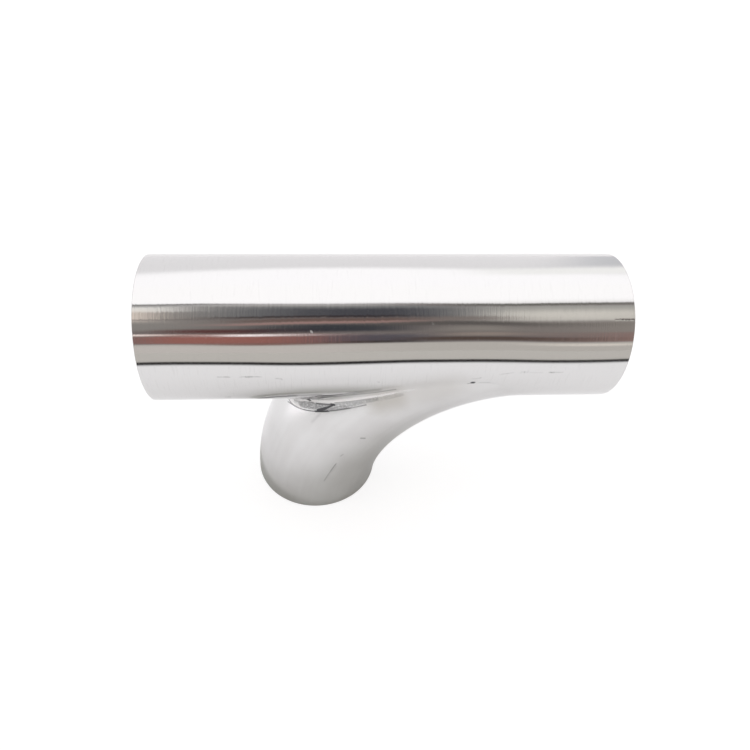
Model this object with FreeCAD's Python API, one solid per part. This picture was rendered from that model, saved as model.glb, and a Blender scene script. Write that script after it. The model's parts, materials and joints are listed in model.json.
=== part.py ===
"""Swept wye tee: a straight run of round tube with an equal elbow merging into its underside.

Frame, in millimetres: the run's axis is X, with the long arm towards +X. The elbow starts on
that same axis, sweeps back towards -X as it turns down, and its outlet faces -Z, centred below
the origin. The origin is where the run's axis and the outlet's axis cross. The tee stands on
its outlet.
"""

import FreeCAD, Part
import os

# Tube
RUN_OD = 51.0
WALL = 1.5
ELBOW_INSET = 0.3               # the elbow's wall lies this far inside the run's, all round

# Lengths from the origin to the three open ends
SHORT_ARM = 55.0
LONG_ARM = 105.0
OUTLET_DROP = 75.5

BEND_RADIUS = 79.5              # of the elbow's centreline

# Ground weld between run and elbow: its radius grows from the acute crotch to the heel
CROTCH_RADIUS = 1.0
HEEL_RADIUS = 26.0
INNER_SEAM_RADIUS = 1.5         # dressed edge where the two bores meet

DEBURR = 0.25                   # broken edges of the open ends, outside and inside

RUN_RADIUS = RUN_OD / 2
BEYOND = 4 * (SHORT_ARM + LONG_ARM + OUTLET_DROP + RUN_OD)
SAME_PLACE = 0.01               # faces nearer than this to a plane lie on it
QUARTER_TURN = 90.0

ORIGIN = FreeCAD.Vector(0, 0, 0)
X_AXIS = FreeCAD.Vector(1, 0, 0)
Y_AXIS = FreeCAD.Vector(0, 1, 0)
Z_AXIS = FreeCAD.Vector(0, 0, 1)


def run_rod(radius):
    """The run as a solid rod of this radius."""
    short_end = FreeCAD.Vector(-SHORT_ARM, 0, 0)
    return Part.makeCylinder(radius, SHORT_ARM + LONG_ARM, short_end, X_AXIS)


def elbow_rod(radius):
    """The elbow as a solid bar of this radius, from the run's axis down to the outlet."""
    start = FreeCAD.Vector(BEND_RADIUS, 0, 0)
    bend_centre = FreeCAD.Vector(BEND_RADIUS, 0, -BEND_RADIUS)
    bend_end = FreeCAD.Vector(0, 0, -BEND_RADIUS)
    section = Part.Face(Part.Wire(Part.makeCircle(radius, start, X_AXIS)))
    bend = section.revolve(bend_centre, -Y_AXIS, QUARTER_TURN)
    tail = Part.makeCylinder(radius, OUTLET_DROP, bend_end, -Z_AXIS)
    below_outlet = Part.makeBox(
        BEYOND, BEYOND, BEYOND, FreeCAD.Vector(-BEYOND / 2, -BEYOND / 2, -OUTLET_DROP - BEYOND)
    )
    return bend.fuse(tail).removeSplitter().cut(below_outlet)


def near_half(shape):
    """The part of a shape on the -Y side of the tee's plane of symmetry."""
    corner = FreeCAD.Vector(-BEYOND / 2, -BEYOND, -BEYOND / 2)
    return shape.common(Part.makeBox(BEYOND, BEYOND, BEYOND, corner))


def is_tube_wall(face):
    """Whether a face is the round wall of the run or of the elbow."""
    return isinstance(face.Surface, (Part.Cylinder, Part.Toroid))


def is_run_wall(face):
    return isinstance(face.Surface, Part.Cylinder) and abs(face.Surface.Axis.x) > 0.5


def is_open_end(face):
    """Whether a face is the flat end of an arm."""
    box = face.BoundBox
    gaps = (box.XMax + SHORT_ARM, LONG_ARM - box.XMin, box.ZMax + OUTLET_DROP)
    return min(abs(gap) for gap in gaps) < SAME_PLACE


def rim_edges(shape):
    """The sharp edges where a tube's wall stops at an open end."""
    found = []
    for edge in shape.Edges:
        faces = shape.ancestorsOfType(edge, Part.Face)
        if any(is_open_end(face) for face in faces) and any(is_tube_wall(face) for face in faces):
            found.append(edge)
    return found


def seam_edges(half):
    """The edges along which the elbow's wall leaves the run's."""
    found = []
    for edge in half.Edges:
        walls = [face for face in half.ancestorsOfType(edge, Part.Face) if is_tube_wall(face)]
        if len(walls) == 2 and is_run_wall(walls[0]) != is_run_wall(walls[1]):
            found.append(edge)
    return found


def deburred(shape):
    return shape.makeChamfer(DEBURR, rim_edges(shape))


def joined_half(run, elbow, crotch_radius, heel_radius):
    """Half of two joined rods, rounded along the seam between them."""
    half = near_half(run.fuse(elbow))
    return half.makeFillet(crotch_radius, heel_radius, seam_edges(half))


def wye_tee():
    """The fitting: run, elbow and weld are one hollow piece."""
    elbow_radius = RUN_RADIUS - ELBOW_INSET
    run = deburred(run_rod(RUN_RADIUS))
    elbow = deburred(elbow_rod(elbow_radius))
    skin = joined_half(run, elbow, CROTCH_RADIUS, HEEL_RADIUS)
    run_bore = run_rod(RUN_RADIUS - WALL)
    elbow_bore = elbow_rod(elbow_radius - WALL)
    bore = joined_half(run_bore, elbow_bore, INNER_SEAM_RADIUS, INNER_SEAM_RADIUS)
    half = deburred(skin.cut(bore))
    return half.fuse(half.mirror(ORIGIN, Y_AXIS)).removeSplitter().Solids[0]


os.makedirs("parts", exist_ok=True)
wye_tee().exportStep("parts/wye_tee.step")
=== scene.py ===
"""Looks of the swept wye tee: polished steel tube, satin elbow, ground weld, hairlines and marks.

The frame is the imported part's own, in metres: the run's axis is X and the outlet faces -Z. Round
the run, an angle is counted from level with the front (-Y), upwards. On the elbow, a bend angle is
counted from the run's axis down to the outlet, and a section angle from the outside of the bend.
"""

import json
import math

import bpy
import numpy as np
from mathutils import Matrix, Vector


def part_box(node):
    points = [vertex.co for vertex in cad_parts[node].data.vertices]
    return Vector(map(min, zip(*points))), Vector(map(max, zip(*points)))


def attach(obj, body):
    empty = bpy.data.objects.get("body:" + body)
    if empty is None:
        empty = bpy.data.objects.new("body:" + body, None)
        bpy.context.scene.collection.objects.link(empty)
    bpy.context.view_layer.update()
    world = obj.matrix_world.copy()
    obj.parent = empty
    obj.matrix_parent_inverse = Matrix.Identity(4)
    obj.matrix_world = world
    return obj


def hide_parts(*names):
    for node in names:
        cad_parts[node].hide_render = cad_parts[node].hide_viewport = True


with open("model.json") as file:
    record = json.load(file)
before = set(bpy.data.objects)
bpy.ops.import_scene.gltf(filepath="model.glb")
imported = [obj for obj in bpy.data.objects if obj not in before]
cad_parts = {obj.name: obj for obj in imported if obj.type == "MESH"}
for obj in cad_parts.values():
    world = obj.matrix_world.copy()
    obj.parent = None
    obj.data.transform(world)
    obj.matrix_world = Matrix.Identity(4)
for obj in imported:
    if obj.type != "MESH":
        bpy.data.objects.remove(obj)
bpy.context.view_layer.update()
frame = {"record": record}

MM = 0.001
NODE = "wye_tee"

# The fitting's sizes: the first five are read from the frame
low_corner, high_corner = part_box(NODE)
mounts = {mount["name"]: mount for mount in frame["record"]["mounts"]}
RUN_RADIUS = high_corner.z
SHORT_END = low_corner.x
LONG_END = high_corner.x
OUTLET_Z = low_corner.z
WALL = RUN_RADIUS - mounts["run_bore"]["dims"]["r_mm"] * MM
ELBOW_INSET = 0.3 * MM
BEND_RADIUS = 79.5 * MM
CROTCH_BALL = 1.0 * MM              # the weld's blend is the track of a ball that grows to the heel
HEEL_BALL = 26 * MM
INNER_BALL = 1.5 * MM
LIP = 0.25 * MM                     # rounding of the open ends

# Mesh density
AROUND = 72                         # steps round half a tube
WELD_STEPS = 14                     # steps across the weld
LIP_STEPS = 3
OUTER_STEP = 1.0 * MM               # between stations of the seam, outside and inside
INNER_STEP = 2.6 * MM
RUN_STEP = 3.0 * MM                 # along the run, away from the seam
RUN_LEAN = 14 * MM                  # how far the columns of the run lean away from the crotch
ELBOW_LEAN = math.radians(18)       # how far the rows of the elbow lean away from the crotch
LOWER_STRETCH = 1.5                 # rows of the lower elbow are this much longer than the seam's steps
FINE_STATIONS = 2001                # for measuring the seam's length
MERGE_DISTANCE = 1e-6
MERGE_PHASE = 0.37                  # keeps round coordinates off the borders of the merging cells

# Materials by their place in the mesh's list
RUN, WELD, ELBOW, INSIDE, RIM = range(5)


def unit(arrows):
    """The same directions with length 1."""
    return arrows / np.linalg.norm(arrows, axis=-1, keepdims=True)


def on_run(radius, x, angle):
    """Points and outward normals of the run; here the angle is 0 at the bottom, towards -Y."""
    x, angle = np.broadcast_arrays(x, angle)
    normals = np.stack([0 * angle, -np.sin(angle), -np.cos(angle)], -1)
    points = normals * radius
    points[..., 0] = x
    return points, normals


def on_elbow(radius, bend, section):
    """Points and outward normals of the elbow."""
    bend, section = np.broadcast_arrays(bend, section)
    away = np.stack([-np.sin(bend), 0 * bend, np.cos(bend)], -1)
    front = np.array([0, -1, 0])
    normals = away * np.cos(section)[..., None] + front * np.sin(section)[..., None]
    centre = np.array([BEND_RADIUS, 0, -BEND_RADIUS])
    return centre + away * BEND_RADIUS + normals * radius, normals


def ball_centres(run_radius, elbow_radius, section, ball):
    """Centres of the balls that touch the run and the elbow at this section angle."""
    y = -(elbow_radius + ball) * np.sin(section)
    z = -np.sqrt((run_radius + ball) ** 2 - y ** 2)
    reach = BEND_RADIUS + (elbow_radius + ball) * np.cos(section)
    x = BEND_RADIUS - np.sqrt(reach ** 2 - (z + BEND_RADIUS) ** 2)
    return np.stack([x, y, z], -1)


def seam_stations(run_radius, elbow_radius, step):
    """Section angles at even steps along the seam, the share of it behind each, and its length."""
    fine = np.linspace(0, math.pi, FINE_STATIONS)
    seam = ball_centres(run_radius, elbow_radius, fine, 0.0)
    length = np.concatenate([[0], np.cumsum(np.linalg.norm(np.diff(seam, axis=0), axis=1))])
    share = np.linspace(0, 1, int(length[-1] / step) + 1)
    return np.interp(share * length[-1], length, fine), share, length[-1]


def steps_between(start, end, step):
    """Shares from 0 to 1 for a stretch of this length."""
    return np.linspace(0, 1, max(2, int(abs(end - start) / step) + 2))


class Skin:
    """Grids of points with their exact normals, each with its mirror image, gathered in one mesh."""

    MIRROR = np.array([1, -1, 1])

    def __init__(self):
        self.grids = []
        self.weld_edges = {}
        self.weld_length = None

    def add(self, grid, material, sense=1):
        """Keep a grid and its mirror image; sense -1 turns its normals round."""
        points, normals = grid
        for mirror in (1, self.MIRROR):
            self.grids.append((points * mirror, normals * sense * mirror, material))

    def faces_of(self, points, normals, start):
        """The grid's faces by their points' numbers, turned to face along the normals."""
        rows, columns = points.shape[:2]
        index = start + np.arange(rows * columns).reshape(rows, columns)
        corners = [index[:-1, :-1], index[1:, :-1], index[1:, 1:], index[:-1, 1:]]
        quads = np.stack(corners, -1).reshape(-1, 4)
        flat = points.reshape(-1, 3)
        first, second, third, fourth = (flat[quads[:, corner] - start] for corner in range(4))
        facing = np.cross(third - first, fourth - second)
        outward = normals.reshape(-1, 3)[quads[:, 0] - start]
        return quads[:, ::-1] if (facing * outward).sum() < 0 else quads

    def build(self, name, materials):
        """One object of all the grids, with the points that they share merged."""
        points = np.concatenate([grid[0].reshape(-1, 3) for grid in self.grids])
        normals = np.concatenate([grid[1].reshape(-1, 3) for grid in self.grids])
        cells = np.floor(points / MERGE_DISTANCE + MERGE_PHASE).astype(np.int64)
        _, first, where = np.unique(cells, axis=0, return_index=True, return_inverse=True)
        where = where.reshape(-1)
        faces = []
        face_materials = []
        start = 0
        for grid_points, grid_normals, material in self.grids:
            quads = where[self.faces_of(grid_points, grid_normals, start)]
            start += grid_points.shape[0] * grid_points.shape[1]
            for quad in quads.tolist():
                face = list(dict.fromkeys(quad))
                if len(face) > 2:
                    faces.append(face)
                    face_materials.append(material)
        mesh = bpy.data.meshes.new(name)
        mesh.from_pydata(points[first].tolist(), [], faces)
        mesh.shade_smooth()
        for material in materials:
            mesh.materials.append(material)
        mesh.polygons.foreach_set("material_index", face_materials)
        for label, values in self.weld_places(points[first]).items():
            layer = mesh.attributes.new(label, "FLOAT", "POINT")
            layer.data.foreach_set("value", values.astype(np.float32))
        mesh.normals_split_custom_set_from_vertices(normals[first].tolist())
        piece = bpy.data.objects.new(name, mesh)
        bpy.context.scene.collection.objects.link(piece)
        return piece

    def weld_places(self, points):
        """Each point's distances from the weld's two edges, and its place along the weld, in mm."""
        front = points * np.where(points[:, 1:2] > 0, self.MIRROR, 1)
        places = {}
        for name, edge in self.weld_edges.items():
            gap = np.full(len(front), np.inf)
            along = np.zeros(len(front))
            for place, length in zip(edge, self.weld_length):
                distance = np.linalg.norm(front - place, axis=1)
                along = np.where(distance < gap, length, along)
                gap = np.minimum(distance, gap)
            places["from_" + name] = gap / MM
            places["along_" + name] = along / MM
        return places


def add_wall(skin, run_radius, elbow_radius, balls, step, materials, sense):
    """The front half of one wall, seen from outside (sense 1) or from the bore (-1), and its rings."""
    run_material, weld_material, elbow_material = materials
    section, share, length = seam_stations(run_radius, elbow_radius, step)
    ball = balls[0] + (balls[1] - balls[0]) * share
    centres = ball_centres(run_radius, elbow_radius, section, ball)
    x = centres[:, 0]
    angle = np.arctan2(-centres[:, 1], -centres[:, 2])
    angle[[0, -1]] = 0
    bend = np.arctan2(BEND_RADIUS - x, centres[:, 2] + BEND_RADIUS)
    part = np.linspace(0, 1, AROUND + 1)

    top_x = x[-1] + (x[0] - RUN_LEAN - x[-1]) * (1 - share)
    late = share[:, None]
    lean = (1 - late) * (1 - (1 - part) ** 2) + late * part ** 2
    column_x = x[:, None] + (top_x - x)[:, None] * lean
    column_angle = angle[:, None] + (math.pi - angle)[:, None] * part
    over_seam = on_run(run_radius, column_x, column_angle)
    skin.add(over_seam, run_material, sense)
    rings = []
    for end, edge in ((SHORT_END + LIP, column_x[0]), (LONG_END - LIP, column_x[-1])):
        rows = steps_between(end, edge[0], RUN_STEP)[:, None]
        arm = on_run(run_radius, end + (edge - end) * rows, math.pi * part)
        skin.add(arm, run_material, sense)
        rings.append(arm[0][0])

    elbow_edge = on_elbow(elbow_radius, bend, section)[0]
    to_run = unit(over_seam[0][:, 0] - centres)[:, None]
    to_elbow = unit(elbow_edge - centres)[:, None]
    turn = np.arccos(np.clip((to_run * to_elbow).sum(-1, keepdims=True), -1, 1))
    across = np.linspace(0, 1, WELD_STEPS + 1)[:, None]
    spokes = (np.sin((1 - across) * turn) * to_run + np.sin(across * turn) * to_elbow) / np.sin(turn)
    skin.add((centres[:, None] + spokes * ball[:, None, None], -spokes), weld_material, sense)

    far_bend = bend[-1] + (bend[0] + ELBOW_LEAN - bend[-1]) * (1 - share)
    row_section = section[:, None] + (math.pi - section)[:, None] * part
    row_bend = bend[:, None] + (far_bend - bend)[:, None] * part
    skin.add(on_elbow(elbow_radius, row_bend, row_section), elbow_material, sense)

    whole = math.pi * part
    level = BEND_RADIUS + OUTLET_Z + LIP
    last_bend = np.arccos(level / (BEND_RADIUS + elbow_radius * np.cos(whole)))
    rows = steps_between(0, (last_bend[0] - bend[0]) * BEND_RADIUS, LOWER_STRETCH * step)[:, None]
    lower = on_elbow(elbow_radius, row_bend[0] + (last_bend - row_bend[0]) * rows, whole)
    skin.add(lower, elbow_material, sense)
    rings.append(lower[0][-1])
    if sense > 0:
        skin.weld_edges = {"run": over_seam[0][:, 0], "elbow": elbow_edge}
        skin.weld_length = share * length
    return rings


def add_rims(skin, outer_rings, inner_rings):
    """The rounded ends of the three tubes."""
    turn = np.linspace(0, math.pi / 2, LIP_STEPS + 1)[:, None, None]
    for outer, inner, axis in zip(outer_rings, inner_rings, ((-1, 0, 0), (1, 0, 0), (0, 0, -1))):
        axis = np.array(axis)
        out = unit(outer - inner)
        outer_normals = out * np.cos(turn) + axis * np.sin(turn)
        inner_normals = -out * np.sin(turn) + axis * np.cos(turn)
        outer_edge = outer - out * LIP + outer_normals * LIP
        inner_edge = inner + out * LIP + inner_normals * LIP
        points = np.concatenate([outer_edge, inner_edge])
        skin.add((points, np.concatenate([outer_normals, inner_normals])), RIM)


# Node helpers: an input takes a number, a colour or another node's socket
def feed(tree, socket, value):
    if isinstance(value, bpy.types.NodeSocket):
        tree.links.new(value, socket)
    else:
        socket.default_value = value


def node(tree, kind, inputs=None, **settings):
    made = tree.nodes.new("ShaderNode" + kind)
    for name, value in settings.items():
        setattr(made, name, value)
    for key, value in (inputs or {}).items():
        feed(tree, made.inputs[key], value)
    return made


def maths(tree, operation, *values):
    return node(tree, "Math", dict(enumerate(values)), operation=operation).outputs[0]


def times(tree, first, second):
    return maths(tree, "MULTIPLY", first, second)


def minus(tree, first, second):
    return maths(tree, "SUBTRACT", first, second)


def larger(tree, first, second):
    return maths(tree, "MAXIMUM", first, second)


def vectors(tree, operation, *values):
    made = node(tree, "VectorMath", dict(enumerate(values)), operation=operation)
    return made.outputs["Value" if operation in ("DOT_PRODUCT", "LENGTH") else "Vector"]


def smooth_step(tree, value, start, end):
    """0 where the value is at start and 1 where it is at end, whichever is larger."""
    ends = {"Value": value, "From Min": start, "From Max": end}
    return node(tree, "MapRange", ends, interpolation_type="SMOOTHSTEP").outputs[0]


def mixed(tree, share, first, second):
    """Between two colours."""
    made = node(tree, "Mix", {0: share, 6: first, 7: second}, data_type="RGBA")
    return made.outputs[2]


def between(tree, share, first, second):
    """Between two numbers."""
    return node(tree, "Mix", {0: share, 2: first, 3: second}, data_type="FLOAT").outputs[0]


def combined(tree, x, y, z):
    return node(tree, "CombineXYZ", {0: x, 1: y, 2: z}).outputs[0]


def separated(tree, vector):
    return node(tree, "SeparateXYZ", {0: vector}).outputs


def noise(tree, vector, scale, detail=2.0):
    settings = {"Vector": vector, "Scale": scale, "Detail": detail}
    return node(tree, "TexNoise", settings).outputs[0]


def linear(colour):
    """A colour's linear values, from bytes."""
    values = [value / 255 for value in colour]
    return [v / 12.92 if v <= 0.04045 else ((v + 0.055) / 1.055) ** 2.4 for v in values]


STEEL_REFLECTANCE = 0.72


def lit(colour):
    """Light that the steel mirrors as this colour, given in bytes."""
    return [value / STEEL_REFLECTANCE for value in linear(colour)] + [1]


def grey(level):
    return level, level, level, 1


WHITE = grey(1)


def new_material(name):
    material = bpy.data.materials.new(name)
    material.use_nodes = True
    tree = material.node_tree
    return material, tree, tree.nodes["Principled BSDF"]


def bumped(tree, height, distance, normal):
    """A normal with this height on it, over another normal or none."""
    inputs = {"Strength": 1.0, "Distance": abs(distance), "Height": height}
    if normal is not None:
        inputs["Normal"] = normal
    return node(tree, "Bump", inputs, invert=distance < 0).outputs[0]


def run_places(tree):
    """Millimetres along the run and round it, from level with the front upwards."""
    x, y, z = separated(tree, node(tree, "TexCoord").outputs["Object"])
    angle = maths(tree, "ARCTAN2", z, times(tree, y, -1))
    return maths(tree, "DIVIDE", x, MM), times(tree, angle, RUN_RADIUS / MM)


def elbow_places(tree):
    """Millimetres along the elbow's centreline and round its section."""
    x, y, z = separated(tree, node(tree, "TexCoord").outputs["Object"])
    outwards = minus(tree, BEND_RADIUS, x)
    upwards = maths(tree, "ADD", z, BEND_RADIUS)
    bend = maths(tree, "ARCTAN2", outwards, upwards)
    squares = [times(tree, value, value) for value in (outwards, upwards)]
    reach = minus(tree, maths(tree, "SQRT", maths(tree, "ADD", *squares)), BEND_RADIUS)
    section = maths(tree, "ARCTAN2", times(tree, y, -1), reach)
    along = times(tree, bend, BEND_RADIUS / MM)
    return along, times(tree, section, RUN_RADIUS / MM)


TINY = 1e-9                         # so that a stroke may have no length


def stroke(tree, place, start, end, half_width, softness):
    """1 on a straight stroke between two places and 0 away from it."""
    way = Vector((end[0] - start[0], end[1] - start[1], 0))
    off = vectors(tree, "SUBTRACT", place, (*start, 0))
    ahead = vectors(tree, "DOT_PRODUCT", off, tuple(way / max(way.length_squared, TINY)))
    ahead = node(tree, "Clamp", {0: ahead}).outputs[0]
    nearest = node(tree, "VectorMath", {0: tuple(way), "Scale": ahead}, operation="SCALE").outputs[0]
    distance = vectors(tree, "LENGTH", vectors(tree, "SUBTRACT", off, nearest))
    return smooth_step(tree, distance, half_width + softness, half_width)


def strokes(tree, place, marks):
    """All marks of a list as one mask."""
    total = 0.0
    for start, end, half_width, softness, depth in marks:
        mask = stroke(tree, place, start, end, half_width, softness)
        total = larger(tree, total, times(tree, mask, depth))
    return total


def at_angle(x, degrees):
    """A place on the run: millimetres along it, degrees above level with the front."""
    return x, math.radians(degrees) * RUN_RADIUS / MM


def at_bend(bend, section):
    """A place on the elbow, from its two angles in degrees."""
    return math.radians(bend) * BEND_RADIUS / MM, math.radians(section) * RUN_RADIUS / MM


# Marks: start, end, half width and softness in millimetres, depth from 0 to 1
RUN_MARKS = [
    (at_angle(-30.1, 0.3), at_angle(-28.0, 0.2), 0.05, 0.40, 0.30),
    (at_angle(-27.7, 0.2), at_angle(-26.4, 0.1), 0.06, 0.40, 0.40),
    (at_angle(-23.0, 0.1), at_angle(-21.6, 0.2), 0.04, 0.40, 0.30),
    (at_angle(-21.2, 0.1), at_angle(-19.1, -0.1), 0.10, 0.35, 0.55),
    (at_angle(-18.6, 0.0), at_angle(-16.4, -0.1), 0.05, 0.40, 0.35),
    (at_angle(-11.4, -1.8), at_angle(-9.8, -2.4), 0.06, 0.50, 0.25),
    (at_angle(-9.8, -2.6), at_angle(-9.6, -3.4), 0.06, 0.40, 0.30),
    (at_angle(-29.6, -29.4), at_angle(-28.2, -29.5), 0.12, 0.50, 0.50),
    (at_angle(22.0, -7.3), at_angle(22.4, -7.5), 0.05, 0.40, 0.30),
    (at_angle(53.4, -4.9), at_angle(55.6, -4.4), 0.02, 0.35, 0.22),
    (at_angle(56.0, -4.3), at_angle(56.4, -3.6), 0.06, 0.35, 0.32),
    (at_angle(62.6, -0.5), at_angle(66.9, 1.2), 0.02, 0.40, 0.22),
    (at_angle(69.6, 1.2), at_angle(69.7, 2.0), 0.05, 0.40, 0.30),
    (at_angle(70.6, 1.2), at_angle(70.6, 2.2), 0.05, 0.40, 0.34),
    (at_angle(71.6, 1.4), at_angle(71.8, 2.4), 0.05, 0.40, 0.28),
    (at_angle(72.4, 1.1), at_angle(76.9, 0.9), 0.00, 0.40, 0.14),
    (at_angle(79.2, 1.1), at_angle(80.6, 1.0), 0.10, 0.35, 0.52),
    (at_angle(80.8, 1.1), at_angle(83.6, 1.2), 0.03, 0.40, 0.28),
    (at_angle(98.4, 42.5), at_angle(101.0, 42.5), 0.02, 0.45, 0.30),
    (at_angle(100.6, 42.5), at_angle(104.4, 42.4), 0.08, 0.35, 0.62),
]
ELBOW_MARKS = [
    (at_bend(65.6, 92.6), at_bend(69.4, 92.2), 0.08, 0.35, 0.42),
    (at_bend(69.2, 92.2), at_bend(74.2, 91.1), 0.05, 0.35, 0.30),
    (at_bend(66.6, 94.2), at_bend(72.6, 92.8), 0.02, 0.40, 0.12),
    (at_bend(61.0, 92.2), at_bend(62.0, 91.4), 0.08, 0.40, 0.24),
    (at_bend(52.7, 93.0), at_bend(52.2, 95.8), 0.12, 0.50, 0.42),
    (at_bend(54.4, 52.6), at_bend(57.4, 52.1), 0.10, 0.90, 0.12),
]
# Painted shade: soft dark reflections of the shadowed table and the elbow, painted into the run's skin
# over the crotch, in the same form
RUN_PAINTED_SHADES = [
    (at_angle(-18.5, -37.0), at_angle(-13.8, -31.8), 0.6, 0.9, 0.42),
    (at_angle(-13.8, -31.8), at_angle(-6.0, -28.4), 0.5, 0.9, 0.40),
    (at_angle(-6.0, -28.4), at_angle(3.0, -26.6), 0.3, 0.9, 0.20),
    (at_angle(13.0, -23.4), at_angle(26.0, -17.8), 0.7, 1.0, 0.22),
]
# The weld's marks lie by their distance along it and from its edge on the elbow, in millimetres. Near
# the crotch it is a lens-shaped hollow, with painted dark reflection along its edge, a dark dart of
# painted reflection, grey patches of painted shade and painted highlights along its valley.
# Painted dark reflection: a thin dark line along the hollow's edge on the elbow
PAINTED_HOLLOW_EDGE = [
    ((10.2, 0.60), (12.6, 0.15), 0.06, 0.22, 0.85),
    ((12.6, 0.10), (21.0, 0.00), 0.08, 0.22, 0.70),
    ((21.0, 0.00), (27.6, 0.00), 0.10, 0.22, 0.85),
    ((27.6, 0.05), (34.0, 0.05), 0.20, 0.25, 0.95),
    ((34.0, 0.00), (44.0, 0.00), 0.10, 0.25, 0.80),
    ((44.0, 0.00), (50.0, 0.10), 0.04, 0.25, 0.55),
]
# The dark dart and the thin line above it are painted dark reflection; the last three are small dark
# strokes further along
WELD_PAINTED_DART_AND_MARKS = [
    ((30.0, 3.40), (37.6, 2.40), 0.14, 0.40, 0.85),
    ((37.4, 2.30), (33.4, 1.20), 0.26, 0.40, 0.96),
    ((33.4, 1.20), (29.2, 0.40), 0.44, 0.40, 0.97),
    ((36.6, 2.60), (37.8, 2.30), 0.34, 0.35, 0.97),
    ((38.6, 3.10), (52.0, 2.10), 0.06, 0.45, 0.46),
    ((81.0, 0.72), (81.4, 0.68), 0.26, 0.30, 0.95),
    ((80.0, 0.36), (81.0, 0.60), 0.02, 0.30, 0.45),
    ((83.0, 0.55), (85.6, 0.69), 0.02, 0.35, 0.20),
]
# Grey patches of painted shade in the hollow, broken up by grain
WELD_SHADE_MOTTLES = [
    ((30.0, 2.40), (36.0, 2.20), 0.60, 0.50, 0.66),
    ((30.0, 1.50), (33.0, 1.80), 0.20, 0.50, 0.60),
    ((20.0, 2.10), (29.4, 2.10), 1.00, 0.80, 0.62),
    ((21.6, 3.50), (28.6, 3.60), 0.30, 0.60, 0.62),
    ((15.4, 2.40), (20.0, 3.40), 0.25, 0.60, 0.50),
    ((34.4, 0.60), (42.0, 0.80), 0.50, 0.70, 0.60),
    ((38.6, 1.80), (46.0, 1.50), 0.70, 0.90, 0.44),
    ((46.0, 1.50), (54.0, 1.50), 0.50, 0.90, 0.46),
    ((54.0, 1.30), (62.0, 0.60), 0.40, 1.10, 0.22),
]
# Painted highlights along the hollow's valley and inside its left end
WELD_PAINTED_HIGHLIGHTS = [
    ((11.2, 0.95), (19.6, 0.60), 0.32, 0.35, 1.0),
    ((10.8, 0.90), (18.0, 3.20), 0.20, 0.40, 1.0),
    ((18.0, 3.20), (22.0, 4.90), 0.25, 0.40, 1.0),
    ((22.0, 4.90), (28.4, 5.20), 0.50, 0.40, 1.0),
    ((28.4, 5.20), (36.8, 4.00), 0.50, 0.40, 1.0),
    ((36.8, 4.00), (43.2, 3.70), 0.40, 0.40, 1.0),
    ((43.2, 3.70), (54.2, 2.60), 0.35, 0.50, 1.0),
    ((54.2, 2.60), (60.0, 2.30), 0.20, 0.60, 0.8),
    ((60.0, 2.30), (66.0, 1.90), 0.10, 0.70, 0.4),
]
# Painted shade that carries the run's dark reflections on over the weld; it lies by its distance along
# the weld and from its edge on the run
WELD_PAINTED_SHADES = [
    ((38.5, 1.30), (54.6, 1.95), 0.04, 0.45, 0.42),
    ((54.6, 1.95), (61.1, 1.65), 0.06, 0.45, 0.42),
    ((36.0, 0.20), (56.0, 0.50), 0.40, 1.20, 0.22),
]
# A pit at the weld's start, by X and Z
WELD_PITS = [((-1.8, -18.8), (-1.2, -19.4), 0.50, 0.25, 1.0)]
# Two small bright specks on the run, nearly white and less metallic
RUN_SPECKS = [
    (at_angle(0.3, 35.9), at_angle(0.6, 35.2), 0.15, 0.30, 0.55),
    (at_angle(38.8, 41.0), at_angle(38.9, 40.2), 0.10, 0.30, 0.16),
]
# A brownish grey tint over part of the weld and the skin beside it, by the distance along the weld and
# from its edge on the elbow
BROWNISH_TINT = (0.535, 0.52, 0.49, 1)
BROWNISH_TINT_PLACES = [
    ((55.0, 0.5), (60.0, 0.5), 0.3, 8.5, 0.92),
    ((58.0, 0.0), (74.0, 0.0), 0.3, 9.5, 0.42),
]
# Dark colour of the real marks, and of the painted shade and dark reflections
MARK_AND_PAINTED_SHADE_COLOUR = (0.06, 0.06, 0.065, 1)
# Near white of the bright specks and of the painted highlights
SPECK_AND_PAINTED_HIGHLIGHT_COLOUR = grey(0.95)

# Polishing lines and slow unevenness of both tubes, in changes for each millimetre
HAIRLINES_PER_MM = 2.4
HAIRLINES_ROUND = 0.12
WAVINESS_ALONG = 0.018
WAVINESS_ROUND = 0.035
WAVINESS_HEIGHT = 0.25 * MM
NOISE_MIDDLE = 0.5

# The run's skin
RUN_COLOURS = (grey(0.732), grey(0.718))  # where the hairlines' noise is low and where it is high
RUN_ROUGHNESS = (0.08, 0.13)
RUN_HAZE = (0.95, 1.0)              # metallic share at both ends of the span below
HAZE_SPAN = (0.30, 0.46)            # of the hairlines' noise
RUN_LINE_DEPTH = 0.011 * MM
RUN_MARK_DEPTH = 0.05 * MM
RUN_MARK_WEAR = 0.6                 # roughness of the deepest marks
MARK_GRAIN = 1.9                    # breaks the marks up, in changes for each millimetre
MARK_GRAIN_SPAN = (0.40, 0.58)
MARK_GRAIN_SHARE = (0.25, 1.0)
COMB_SPAN = (13.0, 22.0)            # millimetres round the run over which the hairlines' lean sets in
COMB_LEAN = 0.05
ANISOTROPY = 0.8
ANISOTROPY_TURN = 0.25
WAVE_LENGTH = 87 * MM
WAVE_CREST = 43 * MM
WAVE_TILT = 0.0122                  # steepest slope at the origin, and its growth along X
WAVE_GROWTH = 0.087
WAVE_SPAN = (-0.15 * RUN_RADIUS, 0.55 * RUN_RADIUS)  # heights between which the waves rise
STEP_SLOPE = 1.5                    # of a smooth step's middle, against a straight one

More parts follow.
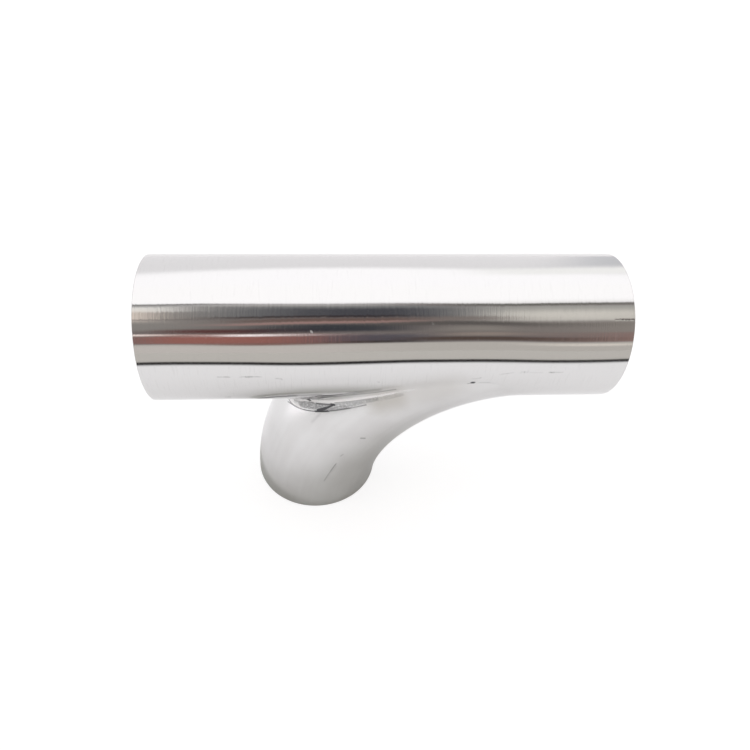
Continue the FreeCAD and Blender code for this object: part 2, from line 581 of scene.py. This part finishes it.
# The elbow's skin
ELBOW_COLOURS = ((0.69, 0.687, 0.685, 1), (0.752, 0.755, 0.755, 1))
ELBOW_ROUGHNESS = (0.13, 0.22)
ELBOW_LINES = 0.5                   # its polishing lines run along it, this share as many
ELBOW_LINE_DEPTH = 0.010 * MM
ELBOW_MARK_DEPTH = 0.03 * MM
CLOUDS = 0.06                       # in changes for each millimetre
BRUSHING = 0.35
BRUSHING_ALONG = 0.05
BRUSHING_SHARE = 0.3
CLOUD_SPAN = (0.34, 0.66)

# The weld, with its noises in changes for each metre
WELD_COLOURS = (grey(0.68), grey(0.74))
WELD_ROUGHNESS = 0.14
WELD_LUMPS = 500.0
WELD_LUMP_DEPTH = 0.06 * MM
WELD_GRAIN = 1600.0
WELD_GRAIN_SPAN = (0.18, 0.60)
# The painted highlights are this much less metallic
PAINTED_HIGHLIGHT_HAZE = 0.6               # how much less metallic its lightest places are
HOLLOW_END = (56.0, 40.0)           # millimetres along the weld where its unevenness starts and is full

# The bore and the cut rims, in the same way
BORE_COLOURS = ((0.52, 0.52, 0.51, 1), (0.66, 0.66, 0.65, 1))
BORE_ROUGHNESS = (0.28, 0.42)
BORE_MOTTLE = 90.0
RIM_COLOURS = (grey(0.60), grey(0.72))
RIM_ROUGHNESS = (0.22, 0.36)
RIM_GRAIN = 2400.0


def waviness(tree, along, around):
    """Slow unevenness that heat and polishing leave in a tube's wall, about 0 either way."""
    place = combined(tree, times(tree, along, WAVINESS_ALONG), times(tree, around, WAVINESS_ROUND), 0.0)
    return minus(tree, noise(tree, place, 1.0, detail=1.0), NOISE_MIDDLE)


def run_waves(tree):
    """Height, in metres, of the long waves that straightening leaves along the run's front."""
    x, _, z = separated(tree, node(tree, "TexCoord").outputs["Object"])
    turns = 2 * math.pi / WAVE_LENGTH
    phase = maths(tree, "MULTIPLY_ADD", x, turns, -turns * WAVE_CREST)
    tilt = maths(tree, "MULTIPLY_ADD", x, WAVE_GROWTH, WAVE_TILT)
    wave = times(tree, maths(tree, "COSINE", phase), tilt)
    rise = smooth_step(tree, z, *WAVE_SPAN)
    steepest = STEP_SLOPE / (WAVE_SPAN[1] - WAVE_SPAN[0])
    return times(tree, maths(tree, "DIVIDE", wave, steepest), rise)


def hairlines(tree, along, around):
    """Fine polishing lines round a tube."""
    fast = times(tree, along, HAIRLINES_PER_MM)
    slow = times(tree, around, HAIRLINES_ROUND)
    return noise(tree, combined(tree, fast, slow, 0.0), 1.0, detail=3.0)


def weld_place(tree, edge):
    """Millimetres along the weld and from its edge on the run or on the elbow."""
    along = node(tree, "Attribute", attribute_name="along_" + edge).outputs["Fac"]
    away = node(tree, "Attribute", attribute_name="from_" + edge).outputs["Fac"]
    return combined(tree, along, away, 0.0)


def make_run_steel():
    material, tree, steel = new_material("polished_run")
    along, around = run_places(tree)
    place = combined(tree, along, around, 0.0)
    grain = smooth_step(tree, noise(tree, place, MARK_GRAIN), *MARK_GRAIN_SPAN)
    marks = times(tree, strokes(tree, place, RUN_MARKS), between(tree, grain, *MARK_GRAIN_SHARE))
    specks = strokes(tree, place, RUN_SPECKS)
    lines = hairlines(tree, along, around)
    colour = mixed(tree, lines, *RUN_COLOURS)
    colour = mixed(tree, strokes(tree, weld_place(tree, "elbow"), BROWNISH_TINT_PLACES), colour, BROWNISH_TINT)
    # Real marks and the painted shade darken the colour, and through the specular tint they also dim
    # the grazing reflections
    marks_and_painted_shade = larger(tree, marks, strokes(tree, place, RUN_PAINTED_SHADES))
    colour = mixed(tree, marks_and_painted_shade, colour, MARK_AND_PAINTED_SHADE_COLOUR)
    colour = mixed(tree, specks, colour, SPECK_AND_PAINTED_HIGHLIGHT_COLOUR)
    feed(tree, steel.inputs["Base Color"], colour)
    feed(tree, steel.inputs["Specular Tint"], mixed(tree, marks_and_painted_shade, WHITE, MARK_AND_PAINTED_SHADE_COLOUR))
    haze = between(tree, smooth_step(tree, lines, *HAZE_SPAN), *RUN_HAZE)
    feed(tree, steel.inputs["Metallic"], times(tree, haze, minus(tree, 1, specks)))
    roughness = between(tree, lines, *RUN_ROUGHNESS)
    worn = larger(tree, roughness, times(tree, marks, RUN_MARK_WEAR))
    feed(tree, steel.inputs["Roughness"], worn)
    normal = bumped(tree, run_waves(tree), 1.0, None)
    normal = bumped(tree, waviness(tree, along, around), WAVINESS_HEIGHT, normal)
    normal = bumped(tree, lines, RUN_LINE_DEPTH, normal)
    normal = bumped(tree, marks, -RUN_MARK_DEPTH, normal)
    lean = times(tree, minus(tree, lines, NOISE_MIDDLE), smooth_step(tree, around, *COMB_SPAN))
    lean = times(tree, lean, COMB_LEAN)
    upwards = vectors(tree, "CROSS_PRODUCT", normal, (1, 0, 0))
    lean = vectors(tree, "MULTIPLY", upwards, combined(tree, lean, lean, lean))
    feed(tree, steel.inputs["Normal"], vectors(tree, "NORMALIZE", vectors(tree, "ADD", normal, lean)))
    steel.inputs["Anisotropic"].default_value = ANISOTROPY
    steel.inputs["Anisotropic Rotation"].default_value = ANISOTROPY_TURN
    tangent = node(tree, "Tangent", direction_type="RADIAL", axis="X").outputs[0]
    feed(tree, steel.inputs["Tangent"], tangent)
    return material


def make_elbow_steel():
    material, tree, steel = new_material("satin_elbow")
    along, around = elbow_places(tree)
    place = combined(tree, along, around, 0.0)
    marks = strokes(tree, place, ELBOW_MARKS)
    lines = hairlines(tree, times(tree, around, ELBOW_LINES), along)
    clouds = noise(tree, place, CLOUDS, detail=4.0)
    drawn_out = combined(tree, times(tree, along, BRUSHING_ALONG), around, 0.0)
    clouds = between(tree, BRUSHING_SHARE, clouds, noise(tree, drawn_out, BRUSHING, detail=3.0))
    colour = mixed(tree, smooth_step(tree, clouds, *CLOUD_SPAN), *ELBOW_COLOURS)
    seam = weld_place(tree, "elbow")
    colour = mixed(tree, strokes(tree, seam, BROWNISH_TINT_PLACES), colour, BROWNISH_TINT)
    # Real marks and the painted dark reflection along the weld's edge darken the elbow
    dark_marks_and_painted_shade = larger(tree, marks, strokes(tree, seam, PAINTED_HOLLOW_EDGE))
    feed(tree, steel.inputs["Base Color"], mixed(tree, dark_marks_and_painted_shade, colour, MARK_AND_PAINTED_SHADE_COLOUR))
    feed(tree, steel.inputs["Roughness"], between(tree, clouds, *ELBOW_ROUGHNESS))
    normal = bumped(tree, waviness(tree, along, around), WAVINESS_HEIGHT, None)
    normal = bumped(tree, lines, ELBOW_LINE_DEPTH, normal)
    feed(tree, steel.inputs["Normal"], bumped(tree, marks, -ELBOW_MARK_DEPTH, normal))
    steel.inputs["Metallic"].default_value = 1.0
    return material


def make_weld_steel():
    material, tree, steel = new_material("ground_weld")
    place = node(tree, "TexCoord").outputs["Object"]
    seam = weld_place(tree, "elbow")
    lumps = noise(tree, place, WELD_LUMPS, detail=3.0)
    grain = smooth_step(tree, noise(tree, place, WELD_GRAIN), *WELD_GRAIN_SPAN)
    # Painted shade in grey patches, the painted dark edge and dart, small dark strokes, the painted
    # shade from the run's side and a pit darken the weld
    shade_mottles = times(tree, strokes(tree, seam, WELD_SHADE_MOTTLES), grain)
    dark_marks_and_painted_shade = larger(tree, shade_mottles, strokes(tree, seam, PAINTED_HOLLOW_EDGE + WELD_PAINTED_DART_AND_MARKS))
    dark_marks_and_painted_shade = larger(tree, dark_marks_and_painted_shade, strokes(tree, weld_place(tree, "run"), WELD_PAINTED_SHADES))
    x, _, z = separated(tree, place)
    from_side = combined(tree, maths(tree, "DIVIDE", x, MM), maths(tree, "DIVIDE", z, MM), 0.0)
    dark_marks_and_painted_shade = larger(tree, dark_marks_and_painted_shade, strokes(tree, from_side, WELD_PITS))
    # Painted highlights: nearly white and less metallic along the hollow's valley
    painted_highlights = strokes(tree, seam, WELD_PAINTED_HIGHLIGHTS)
    colour = mixed(tree, lumps, *WELD_COLOURS)
    colour = mixed(tree, strokes(tree, seam, BROWNISH_TINT_PLACES), colour, BROWNISH_TINT)
    colour = mixed(tree, painted_highlights, colour, SPECK_AND_PAINTED_HIGHLIGHT_COLOUR)
    feed(tree, steel.inputs["Base Color"], mixed(tree, dark_marks_and_painted_shade, colour, MARK_AND_PAINTED_SHADE_COLOUR))
    feed(tree, steel.inputs["Metallic"], maths(tree, "MULTIPLY_ADD", painted_highlights, -PAINTED_HIGHLIGHT_HAZE, 1.0))
    steel.inputs["Roughness"].default_value = WELD_ROUGHNESS
    uneven = smooth_step(tree, separated(tree, seam)[0], *HOLLOW_END)
    height = times(tree, uneven, minus(tree, lumps, dark_marks_and_painted_shade))
    feed(tree, steel.inputs["Normal"], bumped(tree, height, WELD_LUMP_DEPTH, None))
    return material


def make_inside_steel():
    material, tree, steel = new_material("bore")
    mottle = noise(tree, node(tree, "TexCoord").outputs["Object"], BORE_MOTTLE, detail=5.0)
    feed(tree, steel.inputs["Base Color"], mixed(tree, mottle, *BORE_COLOURS))
    feed(tree, steel.inputs["Roughness"], between(tree, mottle, *BORE_ROUGHNESS))
    steel.inputs["Metallic"].default_value = 1.0
    return material


def make_rim_steel():
    material, tree, steel = new_material("cut_rim")
    grain = noise(tree, node(tree, "TexCoord").outputs["Object"], RIM_GRAIN)
    feed(tree, steel.inputs["Base Color"], mixed(tree, grain, *RIM_COLOURS))
    feed(tree, steel.inputs["Roughness"], between(tree, grain, *RIM_ROUGHNESS))
    steel.inputs["Metallic"].default_value = 1.0
    return material


skin = Skin()
outside = add_wall(
    skin,
    RUN_RADIUS,
    RUN_RADIUS - ELBOW_INSET,
    (CROTCH_BALL, HEEL_BALL),
    OUTER_STEP,
    (RUN, WELD, ELBOW),
    1,
)
inside = add_wall(
    skin,
    RUN_RADIUS - WALL,
    RUN_RADIUS - ELBOW_INSET - WALL,
    (INNER_BALL, INNER_BALL),
    INNER_STEP,
    (INSIDE, INSIDE, INSIDE),
    -1,
)
add_rims(skin, outside, inside)
fitting = skin.build(
    "fitting",
    [make_run_steel(), make_weld_steel(), make_elbow_steel(), make_inside_steel(), make_rim_steel()],
)
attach(fitting, "root")
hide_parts(NODE)

# Cards that stand round the object and show in its steel, later ones over earlier ones. Each has a
# colour as the steel shows it, its two sides and their softness as sines (None is all the way round),
# the heights of its middle at one side, halfway and at the other, half its height, and the softness
# of that. Heights are degrees above level in front. A tapered card thins out towards its sides.
EVEN, TAPERED = False, True
CARDS = [
    ((251, 249, 250), (-1.20, 1.20, 0.10), (-55, 109, -30), 32, 12, EVEN),
    ((251, 249, 249), None, (90, 90, 90), 14.5, 2.4, EVEN),
    ((214, 211, 209), (0.22, 1.20, 0.24), (74, 74, 74), 1.0, 14, EVEN),
    ((236, 235, 233), (0.28, 1.20, 0.14), (133, 133, 133), 7, 9, EVEN),
    ((188, 188, 191), (0.39, 1.20, 0.08), (164, 164, 164), 20, 14, EVEN),
    ((107, 100, 98), None, (43, 43, 43), 30.6, 1.6, EVEN),
    ((130, 126, 122), (-1.20, -0.19, 0.22), (51, 51, 51), 18, 6, EVEN),
    ((155, 153, 148), (0.25, 1.20, 0.10), (58, 58, 58), 11.5, 3, EVEN),
    ((203, 198, 190), (0.32, 0.49, 0.13), (54, 54, 54), 8, 12, EVEN),
    ((116, 108, 104), (0.17, 0.345, 0.08), (49.5, 50, 50), 3.4, 5, TAPERED),
    ((228, 225, 220), (-1.20, -0.24, 0.13), (64.5, 65.5, 67.5), 4.6, 3.6, EVEN),
    ((224, 210, 198), (-1.20, -0.30, 0.08), (57, 57, 57), 8, 10, EVEN),
    ((120, 120, 120), (-0.19, 0.24, 0.18), (62, 62, 62), 8, 3, EVEN),
    ((60, 60, 66), (-0.10, 0.19, 0.22), (60.5, 60, 59.5), 7, 6, EVEN),
    ((165, 163, 161), (-1.20, 0.10, 0.20), (71.8, 71.8, 71.4), 1.3, 2, EVEN),
    ((86, 86, 82), (-1.20, -0.12, 0.20), (74, 74, 74), 0.9, 0.9, TAPERED),
    ((96, 90, 90), (-1.20, -0.15, 0.08), (51, 51, 51), 0.5, 0.6, TAPERED),
    ((84, 85, 78), (0.21, 0.44, 0.04), (72.9, 72.2, 71.4), 1.2, 1.6, TAPERED),
    ((36, 24, 26), (-0.17, 0.13, 0.14), (53.4, 54.2, 54.6), 1.2, 2.6, EVEN),
    ((96, 78, 72), (-0.14, 0.15, 0.13), (47.8, 49, 50), 2.4, 3, TAPERED),
    ((156, 124, 118), (-0.17, 0.14, 0.15), (42.6, 45, 47), 1.4, 2.2, TAPERED),
    ((84, 50, 48), (-0.28, -0.05, 0.10), (33.6, 33.4, 32.6), 3.0, 4.4, TAPERED),
    ((44, 48, 54), (-0.09, 0.11, 0.10), (35.5, 37, 37.5), 5.4, 4.6, EVEN),
    ((84, 80, 77), (0.07, 0.42, 0.12), (42, 43, 38.5), 2.8, 3.4, EVEN),
    ((130, 124, 118), (0.18, 0.36, 0.11), (33, 34.5, 31), 4, 6, TAPERED),
    ((135, 128, 122), (0.41, 1.20, 0.07), (36, 36, 36), 9, 6, EVEN),
    ((142, 92, 84), (-0.315, -0.02, 0.10), (20.4, 20.4, 20), 5.6, 3.4, EVEN),
    ((72, 72, 80), (-0.01, 0.15, 0.10), (21, 21, 20.5), 6, 5, EVEN),
    ((36, 34, 34), (0.00, 0.13, 0.07), (15.2, 15.2, 15.4), 2.0, 2, TAPERED),
    ((240, 225, 218), (-1.20, -0.25, 0.07), (27.1, 27.4, 28.2), 1.3, 0.9, TAPERED),
    ((150, 112, 104), (-0.28, 0.00, 0.10), (27.8, 27.4, 26.6), 1.5, 2.6, TAPERED),
    ((285, 276, 276), (-0.15, -0.07, 0.06), (27.2, 27, 26.8), 1.7, 0.9, TAPERED),
    ((138, 126, 118), (0.20, 0.36, 0.10), (25.5, 26, 25.5), 2.6, 3, TAPERED),
    ((76, 64, 58), (0.12, 0.42, 0.09), (19.4, 18.8, 17.8), 2.8, 2.2, EVEN),
    ((138, 112, 106), (0.43, 1.20, 0.06), (20, 20, 20), 8, 5, EVEN),
    ((173, 168, 162), None, (-5, -5, -5), 18.4, 2.6, EVEN),
    ((184, 178, 173), (-1.20, 0.05, 0.20), (-1, -1, -1), 12.4, 4, EVEN),
    ((116, 84, 76), (-0.19, -0.02, 0.10), (13.8, 13.4, 13.8), 1.8, 2, TAPERED),
    ((225, 215, 205), (0.38, 0.46, 0.06), (9.4, 9.4, 9.4), 1.6, 3, TAPERED),
    ((255, 255, 258), (-1.20, -0.70, 0.10), (0, 0, 0), 34, 10, EVEN),
]
FAR_COLOUR = (218, 216, 217)        # all that no card covers

# The floor is a pale table with a dark near edge, and a darker floor in front of it. Its colours are
# in bytes, as the steel shows them, or the table's own, in shares of 1.
TABLE_COLOUR = (0.975, 0.985, 0.995, 1)
TABLE_EDGE = -0.278                 # in front of the object
TABLE_EDGE_SPAN = (-0.005, 0.020)
EDGE_COLOUR = (20, 20, 20)
EDGE_REACH = (0.066, 0.018)         # half the dark edge's width, with its softness and without
FAR_FLOOR = (177, 175, 170)
LEFT_SLANT = 1.1                    # bright paper on the left lies between two slanting edges
LEFT_EDGE = (0.10, 0.30)
LEFT_FLOOR = (255, 255, 258)
# Painted shadow: the table's look in the steel is darkened round the object, on top of its real shading
SHADE_CENTRE = (10 * MM, -9 * MM, 0)  # of the object's soft shadow on the table
SHADE_REACH = (18 * MM, 61 * MM)
SHADE_COLOUR = (0.69, 0.70, 0.685, 1)
# Painted contact shadow: a dark ring on the table's look in the steel, where the outlet stands
CONTACT_SHADOW_CENTRE = (-2.5 * MM, 0, 0)  # of the dark ring where the outlet stands
CONTACT_SHADOW_REACH = (29.5 * MM, 25.5 * MM)
CONTACT_SHADOW_COLOUR = (0.56, 0.57, 0.55, 1)
FLOOR_HALF = 12.0
CORNER_SIGNS = ((-1, -1), (1, -1), (1, 1), (-1, 1))
FLOOR_BELOW = 0.05 * MM             # keeps it off the outlet's rim
FLOOR_GLOW = 0.12                   # what the floor adds of its own to its look in the steel
SHADOW_SHARE = 0.30                 # how much of the floor's look to the camera is its real shading
CAMERA_GLOW = 1.02 - 0.7 * SHADOW_SHARE  # brings the floor outside the shadow to white


def card_share(tree, side, squared, height, card):
    """How much of a card is seen in each direction."""
    sides, heights, half_height, softness, tapered = card
    if sides is None:
        middle = heights[1]
    else:
        start, end, side_softness = sides
        bend, slope, level = np.polyfit([start, (start + end) / 2, end], heights, 2)
        straight = maths(tree, "MULTIPLY_ADD", side, slope, level)
        middle = maths(tree, "MULTIPLY_ADD", squared, bend, straight)
        inside_start = smooth_step(tree, side, start - side_softness / 2, start + side_softness / 2)
        inside_end = smooth_step(tree, side, end + side_softness / 2, end - side_softness / 2)
        across = times(tree, inside_start, inside_end)
    off = maths(tree, "ABSOLUTE", minus(tree, height, middle))
    if sides is None:
        return smooth_step(tree, off, half_height + softness / 2, half_height - softness / 2)
    if tapered:
        outer = maths(tree, "MULTIPLY_ADD", across, half_height, softness / 2)
        inner = maths(tree, "MULTIPLY_ADD", across, half_height, -softness / 2)
    else:
        outer = half_height + softness / 2
        inner = half_height - softness / 2
    return times(tree, across, smooth_step(tree, off, outer, inner))


def make_world():
    world = bpy.data.worlds.new("studio")
    world.use_nodes = True
    tree = world.node_tree
    side, forward, upward = separated(tree, node(tree, "TexCoord").outputs["Generated"])
    height = maths(tree, "ARCTAN2", upward, times(tree, forward, -1))
    height = times(tree, height, math.degrees(1))
    colour = lit(FAR_COLOUR)
    squared = times(tree, side, side)
    for seen, *card in CARDS:
        colour = mixed(tree, card_share(tree, side, squared, height, card), colour, lit(seen))
    to_camera = node(tree, "LightPath").outputs["Is Camera Ray"]
    feed(tree, tree.nodes["Background"].inputs["Color"], mixed(tree, to_camera, colour, WHITE))
    bpy.context.scene.world = world


def far_from(tree, place, centre):
    return vectors(tree, "LENGTH", vectors(tree, "SUBTRACT", place, centre))


def make_floor():
    mesh = bpy.data.meshes.new("floor")
    level = OUTLET_Z - FLOOR_BELOW
    corners = [(side * FLOOR_HALF, depth * FLOOR_HALF, level) for side, depth in CORNER_SIGNS]
    mesh.from_pydata(corners, [], [(0, 1, 2, 3)])
    floor = bpy.data.objects.new("floor", mesh)
    bpy.context.scene.collection.objects.link(floor)
    material, tree, plain = new_material("white_floor")
    position = node(tree, "NewGeometry").outputs["Position"]
    x, y, _ = separated(tree, position)
    flat = vectors(tree, "MULTIPLY", position, (1, 1, 0))
    beyond = minus(tree, TABLE_EDGE, y)
    clear = smooth_step(tree, far_from(tree, flat, SHADE_CENTRE), *SHADE_REACH)
    colour = mixed(tree, clear, SHADE_COLOUR, TABLE_COLOUR)
    colour = mixed(tree, smooth_step(tree, beyond, *TABLE_EDGE_SPAN), colour, lit(FAR_FLOOR))
    left = maths(tree, "MULTIPLY_ADD", maths(tree, "ABSOLUTE", y), -LEFT_SLANT, times(tree, x, -1))
    colour = mixed(tree, smooth_step(tree, left, *LEFT_EDGE), colour, lit(LEFT_FLOOR))
    contact_shadow = smooth_step(tree, far_from(tree, flat, CONTACT_SHADOW_CENTRE), *CONTACT_SHADOW_REACH)
    colour = mixed(tree, contact_shadow, colour, CONTACT_SHADOW_COLOUR)
    edge = smooth_step(tree, maths(tree, "ABSOLUTE", beyond), *EDGE_REACH)
    colour = mixed(tree, edge, colour, lit(EDGE_COLOUR))
    to_camera = node(tree, "LightPath").outputs["Is Camera Ray"]
    own = mixed(tree, to_camera, colour, grey(SHADOW_SHARE))
    shaded = node(tree, "BsdfDiffuse", {"Color": own})
    glow = mixed(tree, to_camera, colour, WHITE)
    strength = between(tree, to_camera, FLOOR_GLOW, CAMERA_GLOW)
    white = node(tree, "Emission", {"Color": glow, "Strength": strength})
    both = node(tree, "AddShader", {0: shaded.outputs[0], 1: white.outputs[0]})
    tree.nodes.remove(plain)
    feed(tree, tree.nodes["Material Output"].inputs["Surface"], both.outputs[0])
    mesh.materials.append(material)


# The camera: a wide lens about two hands away, looking down on the tee from a little to its left
FRAME_PIXELS = 750
FOCAL_PIXELS = 577.0
SENSOR_WIDTH = 36.0
CAMERA_TARGET = Vector((0.690, 0.0, -1.308)) * RUN_RADIUS
CAMERA_DISTANCE = 9.055 * RUN_RADIUS
CAMERA_PITCH = math.radians(45.20)
CAMERA_YAW = math.radians(-4.334)
CAMERA_ROLL = math.radians(2.331)
CENTRE_PIXELS = (358.47, 392.02)      # where the lens's axis meets the picture


def make_camera():
    ahead = Vector((-math.sin(CAMERA_YAW), math.cos(CAMERA_YAW), 0))
    right = Vector((math.cos(CAMERA_YAW), math.sin(CAMERA_YAW), 0))
    above = Vector((0, 0, 1))
    view = math.cos(CAMERA_PITCH) * ahead - math.sin(CAMERA_PITCH) * above
    top = math.sin(CAMERA_PITCH) * ahead + math.cos(CAMERA_PITCH) * above
    rolled_right = math.cos(CAMERA_ROLL) * right + math.sin(CAMERA_ROLL) * top
    rolled_top = math.cos(CAMERA_ROLL) * top - math.sin(CAMERA_ROLL) * right
    data = bpy.data.cameras.new("camera")
    data.sensor_fit = "HORIZONTAL"
    data.sensor_width = SENSOR_WIDTH
    data.lens = SENSOR_WIDTH * FOCAL_PIXELS / FRAME_PIXELS
    data.shift_x = 0.5 - CENTRE_PIXELS[0] / FRAME_PIXELS
    data.shift_y = CENTRE_PIXELS[1] / FRAME_PIXELS - 0.5
    data.clip_start = 0.01
    camera = bpy.data.objects.new("camera", data)
    bpy.context.scene.collection.objects.link(camera)
    turn = Matrix((rolled_right, rolled_top, -view)).transposed().to_4x4()
    camera.matrix_world = Matrix.Translation(CAMERA_TARGET - CAMERA_DISTANCE * view) @ turn
    bpy.context.scene.camera = camera


make_world()
make_floor()
make_camera()
bpy.context.scene.view_settings.view_transform = "Standard"
